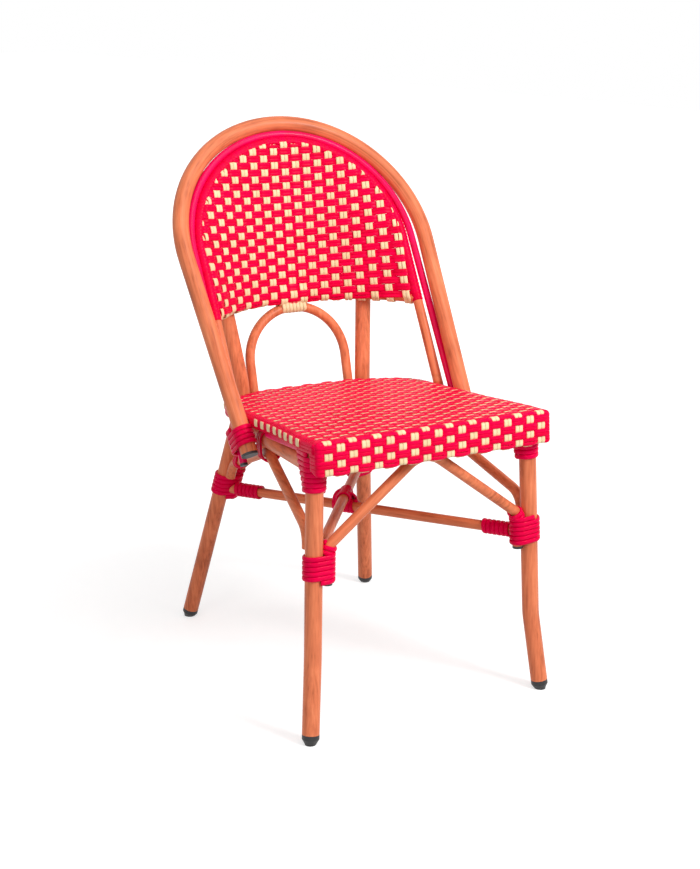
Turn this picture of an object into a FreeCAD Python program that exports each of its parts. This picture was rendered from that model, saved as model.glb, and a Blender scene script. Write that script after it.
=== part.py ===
"""Bistro side chair: bent tube frame, woven seat and back, joints bound with cane.

Millimetres. +X is to the right seen from the front, the front faces -Y, +Z is up.
The floor is Z = 0, and the chair's box is centred on the Z axis.
"""

import FreeCAD
import Part
import math
import os

# Tubes, cane and fits
MAIN_D = 26.0  # legs, rails and the outer hoop
THIN_D = 16.0  # braces, stretchers, back arch and the frame of the back panel
TRIM_D = 12.0  # coloured trim tubes
TUBE_WALL = 1.5
CANE_D = 6.5
CANE_PITCH = 7.4  # rise of a binding per turn
CLEAR = 0.3  # gap left between two pieces that touch
BINDING_SLACK = 1.5  # extra room inside a binding round tubes that aren't parallel
BINDING_STANDOFF = 4.0  # free length of tube between a joint and a binding

# Seat
SEAT_HEIGHT = 458.0  # top of the seat at its front edge
SEAT_FRONT_Y = -272.0
SEAT_DEPTH = 435.0
SEAT_HALF_WIDTH = 190.0  # at the front edge
SEAT_SIDE_TAPER = 1.2  # degrees that each side draws in towards the back
SEAT_THICKNESS = 18.0
SEAT_PITCH = 4.5  # degrees down towards the back
SEAT_FRONT_CORNER = 10.0
SEAT_REAR_CORNER = 85.0
SEAT_REAR_RADIUS = 340.0
SEAT_EDGE_ROUND = 6.0
APRON_HEIGHT = 54.0
APRON_THICKNESS = 18.0
SEAT_TRIM_INSET = 11.0  # trim tube's axis from the seat's side
SEAT_TRIM_LENGTH = 143.0

# Weave: pale warps that stand out of the seat from front to back, and of the back panel from top to bottom
WARP_PITCH = 19.4
WARP_WIDTH = 12.4
WARP_RISE = 2.4
BACK_WEAVE_THICKNESS = 4.0  # between the warps
BACK_WEAVE_STANDOFF = 5.8  # back of the sheet ahead of the panel frame's axis

# Front legs: they lean a little outward and forward, then kick out at the foot
LEG_INSET = 12.0  # leg axis from the seat's side
LEG_ROOM = 3.5  # between the apron and the bindings on the legs
FRONT_LEG_SPLAY = 0.036
KICK_HEIGHT = 125.0
KICK_RADIUS = 160.0
KICK_SIDE = 12.5  # run of the foot beyond the line of the leg
KICK_FORWARD = 15.5

# Rear legs: splayed below the knee, leaning back and apart above it
KNEE_INSET = 80.0  # from the seat's side at its front
KNEE_BEHIND = 1.0  # behind the seat's back edge
KNEE_DROP = 46.0  # below the seat's front edge
KNEE_RADIUS = 120.0
REAR_SPLAY_SIDE = 66.0
REAR_SPLAY_BACK = 109.0
UPRIGHT_SPLAY = 0.122
UPRIGHT_LEAN = 0.21
UPRIGHT_TOP_DROP = 66.0  # below the axis of the outer hoop at its apex
UPRIGHT_TOP_ROUND = 4.0

# Rails
RAIL_BEND_INSET = 46.0  # from the seat's side at its front
RAIL_BEND_AHEAD = 103.0  # ahead of the seat's back edge
RAIL_BEND_RADIUS = 150.0
REAR_RAIL_DROP = 78.0  # below the seat's front edge

# Back: outer hoop, and the trim and panel hoops nested inside it in a steeper plane
HOOP_MARGIN = 25.8  # radius of the hoop beyond half the seat's width
BACK_HEIGHT = 385.7  # axis of the hoop at its apex above the seat's front edge
BACK_OVERHANG = 98.7  # and behind the knees
HOOP_RECLINE = 33.9
TRIM_RECLINE = 30.9
PANEL_RECLINE = 29.0
HOOP_END_DROP = 74.0  # below the seat's front edge
TRIM_END_DROP = 95.0
PANEL_END_RISE = 9.0  # end of the panel hoop above the seat
CROSSBAR_RISE = 104.0  # above the seat's front edge
ARCH_ROOM = 1.0  # between the small arch and the uprights

# Braces and stretchers
BRACE_APEX_RADIUS = 45.0
BRACE_END_RADIUS = 12.0
BRACE_STUB = 3.0  # brace end past the binding
SIDE_STUB = 26.0  # straight end of a side brace along a leg, above the joint's binding
SIDE_STUB_RADIUS = 30.0
FRONT_JOINT_Z = 264.0
REAR_JOINT_Z = 258.0
SIDE_BRACE_APEX_T = 254.0  # along the seat from its front edge

# Turns of the bindings
JOINT_TURNS = 5
LEG_TOP_TURNS = 3
STRETCHER_TURNS = 4
CROSSING_TURNS = 2
HOOP_TURNS = 3
RAIL_TURNS = 2
BRACE_TURNS = 2
ARCH_TURNS = 4
HOOP_BINDING_DROP = 57.0  # below the seat's front edge
CANE_SIDES = 4
GAP_STEP = 2.0  # spacing of the points on which a binding's gap to itself is measured
SOLVE_STEPS = 60  # rounds of halving or repeating in which a fit is solved

# Glides and caps
GLIDE_HEIGHT = 15.0
GLIDE_TIP_D = 17.0
GLIDE_TAPER = 8.0
PLUG_LENGTH = 22.0
CAP_THICKNESS = 4.0


def vec(x, y, z):
    return FreeCAD.Vector(x, y, z)


def unit(v):
    return FreeCAD.Vector(v).normalize()


def square_to(axis, near):
    """A direction square to the axis, as near to the given one as it can be."""
    return unit(near - axis * axis.dot(near))


def seat_point(x, along, up):
    """A point given across the seat, back from its front edge and up from its top."""
    return SEAT_PLACEMENT.multVec(vec(x, along, up))


def line(start, end):
    return Part.LineSegment(start, end).toShape()


def corner_arc(before, corner, after, radius):
    """Entry, middle and leaving point of a tangent arc at a corner."""
    incoming = unit(corner - before)
    outgoing = unit(after - corner)
    half = incoming.getAngle(outgoing) / 2
    inward = unit(outgoing - incoming)
    entry = corner - incoming * (radius * math.tan(half))
    middle = corner + inward * (radius / math.cos(half) - radius)
    leave = corner + outgoing * (radius * math.tan(half))
    return entry, middle, leave


def bent_edges(points, radii):
    """Straight runs through the points, with a tangent arc at each inner one."""
    edges = []
    start = points[0]
    for i, radius in enumerate(radii):
        entry, middle, leave = corner_arc(points[i], points[i + 1], points[i + 2], radius)
        edges.append(line(start, entry))
        edges.append(Part.Arc(entry, middle, leave).toShape())
        start = leave
    edges.append(line(start, points[-1]))
    return edges


def bar(edges, diameter):
    """A round bar along connected straight runs and arcs."""
    spans = []
    for edge in edges:
        start = edge.valueAt(edge.FirstParameter)
        direction = edge.tangentAt(edge.FirstParameter)
        section = Part.Face(Part.Wire([Part.Circle(start, direction, diameter / 2).toShape()]))
        if isinstance(edge.Curve, Part.Circle):
            turn = math.degrees(edge.Length / edge.Curve.Radius)
            spans.append(section.revolve(edge.Curve.Center, edge.Curve.Axis, turn))
        else:
            spans.append(section.extrude(direction * edge.Length))
    if len(spans) == 1:
        return spans[0]
    return spans[0].fuse(spans[1:])


def grown(edges, diameter):
    """The space a tube needs, with its clearance."""
    return bar(edges, diameter + 2 * CLEAR)


def cope(piece, *tools):
    """Cuts the piece back from its neighbours and keeps its main body."""
    for tool in tools:
        piece = max(piece.cut(tool).Solids, key=lambda solid: solid.Volume)
    return piece


def mirrored(shape):
    return shape.mirror(vec(0, 0, 0), vec(1, 0, 0))


def flipped(point):
    return vec(-point.x, point.y, point.z)


def bore_d(tube_d):
    return tube_d - 2 * TUBE_WALL


def bored(tube, tube_d, *ends):
    """Opens the bore at each end, given as (point, outward direction)."""
    for point, outward in ends:
        depth = PLUG_LENGTH + CLEAR
        tube = tube.cut(Part.makeCylinder(bore_d(tube_d) / 2, depth, point, outward * -1))
    return tube


def plug(tube_d, point, outward):
    """End cap with a stem that fits the tube's bore."""
    stem = Part.makeCylinder(bore_d(tube_d) / 2 - CLEAR, PLUG_LENGTH, point, outward * -1)
    cap = Part.makeCylinder(tube_d / 2, CAP_THICKNESS, point, outward)
    return cap.fuse(stem).removeSplitter()


def on_line(start, end, z):
    """The point at height z on the line through two points."""
    return start + (end - start) * ((z - start.z) / (end.z - start.z))


def biarc(start, start_dir, end, end_dir):
    """Two arcs that leave start and reach end along the given directions."""
    span = end - start
    both = start_dir + end_dir
    spread = 2 * (1 - start_dir.dot(end_dir))
    pull = span.dot(both)
    reach = (math.sqrt(pull * pull + spread * span.dot(span)) - pull) / spread
    first = start + start_dir * reach
    second = end - end_dir * reach
    joint = (first + second) * 0.5
    arcs = []
    for a, corner, b in ((start, first, joint), (joint, second, end)):
        half = (corner - a).getAngle(b - corner) / 2
        radius = reach / math.tan(half)
        chord_middle = (a + b) * 0.5
        middle = chord_middle + unit(corner - chord_middle) * (radius * (1 - math.cos(half)))
        arcs.append(Part.Arc(a, middle, b).toShape())
    return arcs


def least_gap(edges, diameter):
    """Least gap of a wound tube to itself, measured on points along it."""
    points = Part.Wire(edges).discretize(Distance=GAP_STEP)
    skip = int(math.pi * diameter / GAP_STEP) + 1
    nearest = min(
        points[i].distanceToPoint(points[j])
        for i in range(len(points))
        for j in range(i + skip, len(points))
    )
    return nearest - diameter


def binding_edges(centre, axis, across, inside, reach, turns):
    """Centre line of a cane binding, as turns round one tube or round two side by side.

    inside is the radius that the turns stay clear of, and reach is how far the
    second half turn is shifted along across, to take in a second tube.
    """
    radius = inside + CLEAR + CANE_D / 2
    side = axis.cross(across)
    slope = CANE_PITCH / (2 * reach + 2 * math.pi * radius)
    height = -turns * CANE_PITCH / 2

    def place(u, v, w):
        return centre + across * u + side * v + axis * w

    def heading(u):
        return unit(across * u + axis * slope)

    start = place(0, -radius, height)
    edges = [line(start - heading(1) * CANE_D, start)]
    for _ in range(turns):
        for u, v, run in ((reach, -radius, 1), (0, radius, -1)):
            if reach > 0:
                height += slope * reach
                corner = place(u, v, height)
                edges.append(line(start, corner))
                start = corner
            height += slope * math.pi * radius
            end = place(u, -v, height)
            edges += biarc(start, heading(run), end, heading(-run))
            start = end
    edges.append(line(start, start + heading(1) * CANE_D))
    return edges


def binding(name, edges):
    """Cane swept along a binding's centre line; prints its least gap to itself."""
    start = edges[0].valueAt(edges[0].FirstParameter)
    direction = edges[0].tangentAt(edges[0].FirstParameter)
    across = unit(direction.cross(vec(0, 0, 1)))
    up = across.cross(direction)
    corners = []
    for i in range(CANE_SIDES + 1):
        angle = 2 * math.pi * i / CANE_SIDES
        corners.append(start + (across * math.cos(angle) + up * math.sin(angle)) * (CANE_D / 2))
    section = Part.makePolygon(corners)
    print(name, "least gap to itself", round(least_gap(edges, CANE_D), 2), "mm")
    return Part.Wire(edges).makePipeShell([section], True, False)


def binding_envelope(centre, axis, across, inside, reach, turns):
    """The space that a binding takes up, as a plain block with round ends."""
    outer = inside + 2 * CLEAR + CANE_D
    length = turns * CANE_PITCH + CANE_D + 2 * CLEAR
    side = axis.cross(across)
    base = centre - axis * (length / 2)
    far = base + across * reach
    ends = [Part.makeCylinder(outer, length, p, axis) for p in (base, far)]
    if reach == 0:
        return ends[0]
    corners = [base - side * outer, far - side * outer, far + side * outer, base + side * outer]
    block = Part.Face(Part.makePolygon(corners + corners[:1])).extrude(axis * length)
    return block.fuse(ends)


def pair(shape):
    """The right-hand piece and its mirror image, as one group."""
    return Part.makeCompound([mirrored(shape), shape])


# Seat plane
SEAT_PLACEMENT = FreeCAD.Placement(
    vec(0, SEAT_FRONT_Y, SEAT_HEIGHT), FreeCAD.Rotation(vec(1, 0, 0), -SEAT_PITCH)
)


def seat_half_width(along):
    """Half the seat's width at a distance back from its front edge."""
    return SEAT_HALF_WIDTH - along * math.tan(math.radians(SEAT_SIDE_TAPER))


def warp_plates(half_width, reach):
    """Upright plates, as wide as the warps, where they run across a weave of the given half width."""
    count = int((half_width - WARP_WIDTH / 2) / WARP_PITCH)
    corners = [vec(k * WARP_PITCH - WARP_WIDTH / 2, -reach, -reach) for k in range(-count, count + 1)]
    return Part.makeCompound([Part.makeBox(WARP_WIDTH, 2 * reach, 2 * reach, corner) for corner in corners])


def seat_outline(front):
    """Plan of the seat: straight front and sides, rounded corners and a bowed back."""
    taper = math.radians(SEAT_SIDE_TAPER)
    side = vec(-math.sin(taper), math.cos(taper), 0)
    outward = vec(math.cos(taper), math.sin(taper), 0)
    front_corner = vec(seat_half_width(front), front, 0)
    front_end, front_mid, side_front = corner_arc(
        vec(0, front, 0), front_corner, front_corner + side, SEAT_FRONT_CORNER
    )
    back_centre = vec(0, SEAT_DEPTH - SEAT_REAR_RADIUS, 0)
    inset = front_corner - outward * SEAT_REAR_CORNER - back_centre
    between = SEAT_REAR_RADIUS - SEAT_REAR_CORNER
    along = math.sqrt(inset.dot(side) ** 2 - inset.dot(inset) + between**2) - inset.dot(side)
    corner_centre = back_centre + inset + side * along
    backward = unit(corner_centre - back_centre)
    side_back = corner_centre + outward * SEAT_REAR_CORNER
    rear_mid = corner_centre + unit(outward + backward) * SEAT_REAR_CORNER
    rear_end = corner_centre + backward * SEAT_REAR_CORNER
    right = [
        Part.Arc(front_end, front_mid, side_front).toShape(),
        line(side_front, side_back),
        Part.Arc(side_back, rear_mid, rear_end).toShape(),
    ]
    back = Part.Arc(rear_end, vec(0, SEAT_DEPTH, 0), flipped(rear_end)).toShape()
    left = [mirrored(edge) for edge in reversed(right)]
    return Part.Wire(right + [back] + left + [line(flipped(front_end), front_end)])


def seat_body(sunk):
    """Slab with a deep apron and rounded edges, its top and front sunk by a depth."""
    plan = Part.Face(seat_outline(sunk))
    plan.translate(vec(0, 0, -sunk))
    slab = plan.extrude(vec(0, 0, sunk - SEAT_THICKNESS))
    strip = Part.makeBox(
        2 * SEAT_HALF_WIDTH, APRON_THICKNESS, APRON_HEIGHT, vec(-SEAT_HALF_WIDTH, 0, -APRON_HEIGHT)
    )
    apron = plan.extrude(vec(0, 0, sunk - APRON_HEIGHT)).common(strip)
    body = slab.fuse(apron).removeSplitter()
    rim = [edge for edge in body.Edges if abs(edge.BoundBox.ZMin + sunk) < CLEAR]
    hem = [edge for edge in body.Edges if abs(edge.BoundBox.ZMax + APRON_HEIGHT) < CLEAR]
    front_hem = [edge for edge in hem if edge.BoundBox.YMin < APRON_THICKNESS - CLEAR]
    return body.makeFillet(SEAT_EDGE_ROUND, rim + front_hem)


def seat_weave():
    """Woven seat: its warps stand out of the top and run down the front of the apron."""
    warps = seat_body(0).common(warp_plates(SEAT_HALF_WIDTH, 2 * SEAT_DEPTH))
    weave = seat_body(WARP_RISE).fuse(warps.Solids).removeSplitter()
    weave.Placement = SEAT_PLACEMENT
    return weave


def seat_trim():
    front = FRONT_LEG_SETBACK + MAIN_D / 2 + CANE_D
    back = front + SEAT_TRIM_LENGTH
    up = -(SEAT_THICKNESS + CLEAR + TRIM_D / 2)
    ends = [seat_point(seat_half_width(t) - SEAT_TRIM_INSET, t, up) for t in (front, back)]
    return bar([line(*ends)], TRIM_D)


# Places that follow from the seat
FRONT_LEG_X = SEAT_HALF_WIDTH - LEG_INSET
FRONT_LEG_SETBACK = APRON_THICKNESS + LEG_ROOM + CANE_D + MAIN_D / 2
KNEE_X = SEAT_HALF_WIDTH - KNEE_INSET
KNEE_Y = SEAT_FRONT_Y + SEAT_DEPTH + KNEE_BEHIND
KNEE_Z = SEAT_HEIGHT - KNEE_DROP
HOOP_RADIUS = SEAT_HALF_WIDTH + HOOP_MARGIN
HOOP_APEX = vec(0, KNEE_Y + BACK_OVERHANG, SEAT_HEIGHT + BACK_HEIGHT)
HOOP_END_Z = SEAT_HEIGHT - HOOP_END_DROP
RAIL_DROP = SEAT_THICKNESS + TRIM_D + MAIN_D / 2 + 3 * CLEAR
RAIL_BEND_T = SEAT_DEPTH - RAIL_BEND_AHEAD
REAR_RAIL_Z = SEAT_HEIGHT - REAR_RAIL_DROP
CROSSBAR_Z = SEAT_HEIGHT + CROSSBAR_RISE

# Legs, as the corner points of their axes
FRONT_TOP = seat_point(FRONT_LEG_X, FRONT_LEG_SETBACK, -(SEAT_THICKNESS + 2 * CLEAR))
FRONT_TOP.z -= MAIN_D / 2 * math.tan(math.radians(SEAT_PITCH))
FRONT_DROP = FRONT_TOP.z - KICK_HEIGHT
FRONT_KICK = FRONT_TOP + vec(FRONT_DROP * FRONT_LEG_SPLAY, -FRONT_DROP * FRONT_LEG_SPLAY, -FRONT_DROP)
FRONT_FOOT = FRONT_KICK + vec(KICK_SIDE, -KICK_FORWARD, -KICK_HEIGHT)
KNEE = vec(KNEE_X, KNEE_Y, KNEE_Z)
REAR_FOOT = vec(KNEE_X + REAR_SPLAY_SIDE, KNEE_Y + REAR_SPLAY_BACK, 0)
UPRIGHT_RISE = HOOP_APEX.z - UPRIGHT_TOP_DROP - KNEE_Z
UPRIGHT_TOP = KNEE + vec(UPRIGHT_RISE * UPRIGHT_SPLAY, UPRIGHT_RISE * UPRIGHT_LEAN, UPRIGHT_RISE)


def foot_end(above, foot):
    """Where a leg's tube stops above its glide, and the direction down along the leg."""
    down = unit(foot - above)
    return foot - down * GLIDE_HEIGHT, down


def front_leg_edges():
    end, _ = foot_end(FRONT_KICK, FRONT_FOOT)
    return bent_edges([FRONT_TOP, FRONT_KICK, end], [KICK_RADIUS])


def rear_leg_edges():
    end, _ = foot_end(KNEE, REAR_FOOT)
    return bent_edges([end, KNEE, UPRIGHT_TOP], [KNEE_RADIUS])


def front_leg():
    return bored(bar(front_leg_edges(), MAIN_D), MAIN_D, foot_end(FRONT_KICK, FRONT_FOOT))


def rear_leg():
    tube = bar(rear_leg_edges(), MAIN_D)
    top = [edge for edge in tube.Edges if edge.distToShape(Part.Vertex(UPRIGHT_TOP))[0] < MAIN_D]
    rims = [edge for edge in top if edge.isClosed()]
    leg = cope(
        tube.makeFillet(UPRIGHT_TOP_ROUND, rims),
        grown(HOOP.edges(), MAIN_D),
        grown(TRIM.edges(), TRIM_D),
        grown(PANEL.edges(), THIN_D),
    )
    return bored(leg, MAIN_D, foot_end(KNEE, REAR_FOOT))


def glide(above, foot):
    """Foot plug: a collar that tapers to a tip, cut flat where it stands on the floor."""
    end, down = foot_end(above, foot)
    stem = Part.makeCylinder(bore_d(MAIN_D) / 2 - CLEAR, PLUG_LENGTH, end, down * -1)
    collar = Part.makeCylinder(MAIN_D / 2, GLIDE_HEIGHT - GLIDE_TAPER, end, down)
    shoulder = end + down * (GLIDE_HEIGHT - GLIDE_TAPER)
    tip = Part.makeCone(MAIN_D / 2, GLIDE_TIP_D / 2, GLIDE_TAPER, shoulder, down)
    past = Part.makeCylinder(GLIDE_TIP_D / 2, GLIDE_TAPER, foot, down)
    below = Part.makeBox(MAIN_D * 2, MAIN_D * 2, MAIN_D, vec(foot.x - MAIN_D, foot.y - MAIN_D, -MAIN_D))
    return stem.fuse([collar, tip, past]).removeSplitter().cut(below)


def foot_glides():
    front = glide(FRONT_KICK, FRONT_FOOT)
    rear = glide(KNEE, REAR_FOOT)
    return Part.makeCompound([mirrored(front), front, mirrored(rear), rear])


# Rails
FRONT_RAIL_END = seat_point(FRONT_LEG_X, FRONT_LEG_SETBACK, -(SEAT_THICKNESS + CLEAR + MAIN_D / 2))
REAR_RAIL_END = vec(on_line(KNEE, REAR_FOOT, REAR_RAIL_Z).x, KNEE_Y, REAR_RAIL_Z)
RAIL_FRONT = seat_point(FRONT_LEG_X, FRONT_LEG_SETBACK, -RAIL_DROP)
RAIL_BEND = seat_point(SEAT_HALF_WIDTH - RAIL_BEND_INSET, RAIL_BEND_T, -RAIL_DROP)
RAIL_BACK_T = (KNEE_Y - SEAT_FRONT_Y) / math.cos(math.radians(SEAT_PITCH))
RAIL_BACK = on_line(KNEE, REAR_FOOT, seat_point(0, RAIL_BACK_T, -RAIL_DROP).z)


def front_rail_edges():
    return [line(flipped(FRONT_RAIL_END), FRONT_RAIL_END)]


def rear_rail_edges():
    return [line(flipped(REAR_RAIL_END), REAR_RAIL_END)]


def side_rail_edges():
    return bent_edges([RAIL_FRONT, RAIL_BEND, RAIL_BACK], [RAIL_BEND_RADIUS])


def front_rail():
    leg = grown(front_leg_edges(), MAIN_D)
    return cope(bar(front_rail_edges(), MAIN_D), leg, mirrored(leg))


def rear_rail():
    leg = grown(rear_leg_edges(), MAIN_D)
    return cope(bar(rear_rail_edges(), MAIN_D), leg, mirrored(leg))


def side_rail():
    return cope(
        bar(side_rail_edges(), MAIN_D),
        grown(front_leg_edges(), MAIN_D),
        grown(rear_leg_edges(), MAIN_D),
        grown(front_rail_edges(), MAIN_D),
        grown(rear_rail_edges(), MAIN_D),
    )


# Hoops of the back, drawn in a reclined plane from the arch's centre
class Arch:
    """An arch of one radius on two straight legs, in a plane tilted back by recline."""

    def __init__(self, radius, apex, recline, taper, end_z):
        self.radius = radius
        self.taper = taper
        self.up = vec(0, math.sin(recline), math.cos(recline))
        self.centre = apex - self.up * radius
        self.shoulder = self.at(radius * math.cos(taper), -radius * math.sin(taper))
        self.leg_dir = vec(-math.sin(taper), 0, 0) - self.up * math.cos(taper)
        self.end = self.shoulder + self.leg_dir * ((end_z - self.shoulder.z) / self.leg_dir.z)

    def at(self, x, up):
        return vec(x, 0, 0) + self.centre + self.up * up

    def edges(self):
        rise = self.radius * math.sin(math.pi / 4)
        apex = self.at(0, self.radius)
        left = Part.Arc(flipped(self.shoulder), self.at(-rise, rise), apex).toShape()
        right = Part.Arc(apex, self.at(rise, rise), self.shoulder).toShape()
        leg = line(flipped(self.end), flipped(self.shoulder))
        return [leg, left, right, line(self.shoulder, self.end)]

    def leg_at(self, z):
        return self.shoulder + self.leg_dir * ((z - self.shoulder.z) / self.leg_dir.z)

    def leg_ends(self):
        return (self.end, self.leg_dir), (flipped(self.end), flipped(self.leg_dir))


def hoop_taper(recline):
    """Lean of the hoop's legs that brings them down against the sides of the seat."""
    slope = math.tan(math.radians(SEAT_PITCH))
    underside = SEAT_HEIGHT - SEAT_THICKNESS
    behind = HOOP_APEX.y - SEAT_FRONT_Y - (HOOP_APEX.z - underside) * math.tan(recline)
    along = behind / (1 + slope * math.tan(recline))
    down = (HOOP_APEX.z - underside + along * slope) / math.cos(recline) - HOOP_RADIUS
    out = seat_half_width(along) + MAIN_D / 2 + 2 * CLEAR
    return math.atan2(down, out) - math.acos(HOOP_RADIUS / math.hypot(out, down))


RECLINE = math.radians(HOOP_RECLINE)
TRIM_TILT = math.radians(TRIM_RECLINE)
PANEL_TILT = math.radians(PANEL_RECLINE)
HOOP = Arch(HOOP_RADIUS, HOOP_APEX, RECLINE, hoop_taper(RECLINE), HOOP_END_Z)
TRIM_RADIUS = HOOP_RADIUS - (MAIN_D + TRIM_D) / 2 - CLEAR
TRIM_APEX = HOOP_APEX - HOOP.up * (HOOP_RADIUS - TRIM_RADIUS)
TRIM = Arch(TRIM_RADIUS, TRIM_APEX, TRIM_TILT, 0, SEAT_HEIGHT - TRIM_END_DROP)
PANEL_RADIUS = TRIM_RADIUS - (TRIM_D + THIN_D) / 2 - CLEAR
PANEL_APEX = TRIM_APEX - TRIM.up * (TRIM_RADIUS - PANEL_RADIUS)
PANEL_FOOT_T = (TRIM.leg_at(SEAT_HEIGHT).y - SEAT_FRONT_Y) / math.cos(math.radians(SEAT_PITCH))
PANEL_END_Z = seat_point(0, PANEL_FOOT_T, PANEL_END_RISE).z
PANEL = Arch(PANEL_RADIUS, PANEL_APEX, PANEL_TILT, 0, PANEL_END_Z)
CROSSBAR_END = PANEL.leg_at(CROSSBAR_Z)


def crossbar_middle():
    """Middle of the bowed crossbar, whose back rests against the two uprights."""
    upright = on_line(KNEE, UPRIGHT_TOP, CROSSBAR_Z)
    tilt = math.cos(math.atan(UPRIGHT_LEAN))
    apart = ((MAIN_D + THIN_D) / 2 + 2 * CLEAR) / tilt
    low = CROSSBAR_END.y - HOOP_APEX.z
    high = CROSSBAR_END.y
    for _ in range(SOLVE_STEPS):
        centre = (low + high) / 2
        radius = math.hypot(CROSSBAR_END.x, CROSSBAR_END.y - centre)
        if math.hypot(upright.x, upright.y - centre) - radius > apart:
            low = centre
        else:
            high = centre
    return vec(0, centre + radius, CROSSBAR_Z)


CROSSBAR_MID = crossbar_middle()


def crossbar_edges():
    return [Part.Arc(flipped(CROSSBAR_END), CROSSBAR_MID, CROSSBAR_END).toShape()]


def outer_hoop():
    return bored(bar(HOOP.edges(), MAIN_D), MAIN_D, *HOOP.leg_ends())


def trim_hoop():
    return bored(bar(TRIM.edges(), TRIM_D), TRIM_D, *TRIM.leg_ends())


def panel_hoop():
    return bar(PANEL.edges(), THIN_D)


def panel_crossbar():
    return cope(bar(crossbar_edges(), THIN_D), grown(PANEL.edges(), THIN_D))


# Small arch: it stands on the rear rail and reaches up to the crossbar
ARCH_LEAN = math.atan2(CROSSBAR_MID.y - KNEE_Y, CROSSBAR_Z - REAR_RAIL_Z)
ARCH_UP = vec(0, math.sin(ARCH_LEAN), math.cos(ARCH_LEAN))
ARCH_TOP = CROSSBAR_MID - ARCH_UP * (THIN_D + CLEAR)
ARCH_RADIUS = KNEE_X - (MAIN_D + THIN_D) / 2 - ARCH_ROOM
SMALL_ARCH = Arch(ARCH_RADIUS, ARCH_TOP, ARCH_LEAN, 0, REAR_RAIL_Z)


def back_arch():
    return cope(bar(SMALL_ARCH.edges(), THIN_D), grown(rear_rail_edges(), MAIN_D))


def arch_binding_shape():
    """Binding that ties the top of the small arch to the crossbar."""
    inside = THIN_D / 2 + BINDING_SLACK
    return ARCH_TOP, vec(1, 0, 0), ARCH_UP, inside, THIN_D + CLEAR, ARCH_TURNS


def back_sheet(behind, ahead):
    """A sheet over the front of the panel's frame, between two distances ahead of its axis."""
    lift = vec(0, 0, THIN_D / 2 + CLEAR)
    over = vec(THIN_D / 2, 0, 0)
    corner = PANEL.leg_at(CROSSBAR_Z + lift.z) + over
    shoulder = PANEL.shoulder + over
    bottom = Part.Arc(flipped(corner), CROSSBAR_MID + lift, corner).toShape()
    top = Part.Arc(flipped(shoulder), PANEL.at(0, PANEL_RADIUS + over.x), shoulder).toShape()
    face = Part.makeRuledSurface(bottom, top)
    forward = PANEL.up.cross(vec(1, 0, 0)) * -1
    face.translate(forward * behind)
    return face.extrude(forward * (ahead - behind))


def back_weave():
    """Woven back: a sheet from the top of the crossbar to the panel's arch, with upright warps."""
    front = BACK_WEAVE_STANDOFF + BACK_WEAVE_THICKNESS
    sheet = back_sheet(BACK_WEAVE_STANDOFF, front)
    raised = back_sheet(front - BACK_WEAVE_THICKNESS / 2, front + WARP_RISE)
    warps = raised.common(warp_plates(PANEL_RADIUS, 2 * HOOP_APEX.z))
    frame = grown(PANEL.edges(), THIN_D)
    return cope(sheet.fuse(warps.Solids), frame, binding_envelope(*arch_binding_shape()))


# Braces: bent thin tubes from joint to joint, with a rounded top under a rail
def apex_corner(end, top_z, half_span):
    """Height of the corner whose rounding just reaches top_z."""
    corner = top_z
    for _ in range(SOLVE_STEPS):
        slope = math.atan2(corner - end.z, half_span)
        corner = top_z + BRACE_APEX_RADIUS * (1 / math.cos(slope) - 1)
    return corner


def joint_frame(above, below, z):
    """Point on a right-hand leg at height z, its direction up, and the way inward."""
    up = unit(above - below)
    return on_line(above, below, z), up, square_to(up, vec(-1, 0, 0))


FRONT_JOINT = joint_frame(FRONT_TOP, FRONT_KICK, FRONT_JOINT_Z)
REAR_JOINT = joint_frame(KNEE, REAR_FOOT, REAR_JOINT_Z)
STUB_OFFSET = (MAIN_D + THIN_D) / 2 + CLEAR
JOINT_HALF = (JOINT_TURNS * CANE_PITCH + CANE_D) / 2


def cross_brace_points(joint, rail):
    """Axis of a brace between two legs: stubs along the legs and arms up to the rail."""
    point, up, inward = joint
    stub = point + inward * STUB_OFFSET
    low = stub - up * (JOINT_HALF + BRACE_STUB)
    bend = stub + up * (JOINT_HALF + BRACE_END_RADIUS / 2)
    top_z = rail.z - (MAIN_D + THIN_D) / 2 - CLEAR
    apex = vec(0, rail.y, apex_corner(bend, top_z, bend.x))
    return [flipped(low), flipped(bend), apex, bend, low]


def cross_brace_edges(joint, rail):
    radii = [BRACE_END_RADIUS, BRACE_APEX_RADIUS, BRACE_END_RADIUS]
    return bent_edges(cross_brace_points(joint, rail), radii)


def brace_stub_ends(joint, rail):
    """Lower ends of a cross brace with the direction out of the tube."""
    low = cross_brace_points(joint, rail)[-1]
    down = joint[1] * -1
    return (low, down), (flipped(low), flipped(down))


def cross_brace(joint, rail):
    brace = bar(cross_brace_edges(joint, rail), THIN_D)
    return bored(brace, THIN_D, *brace_stub_ends(joint, rail))


def rail_over_brace():
    """Point on the side rail above the top of the side brace."""
    share = (SIDE_BRACE_APEX_T - FRONT_LEG_SETBACK) / (RAIL_BEND_T - FRONT_LEG_SETBACK)
    return RAIL_FRONT + (RAIL_BEND - RAIL_FRONT) * share


def side_stub(joint, way):
    """Lower end and bend of a side brace, which runs down along a leg to the joint's binding."""
    point, up, _ = joint
    low = point + square_to(up, way) * STUB_OFFSET + up * (JOINT_HALF + 2 * CLEAR)
    return low, low + up * SIDE_STUB


def side_brace_points():
    front_low, front = side_stub(FRONT_JOINT, vec(0, 1, 0))
    rear_low, rear = side_stub(REAR_JOINT, vec(0, -1, 0))
    over = rail_over_brace()
    top_z = over.z - (MAIN_D + THIN_D) / 2 - 2 * CLEAR
    apex = vec(over.x, over.y, apex_corner(front, top_z, over.y - front.y))
    return [front_low, front, apex, rear, rear_low]


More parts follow.
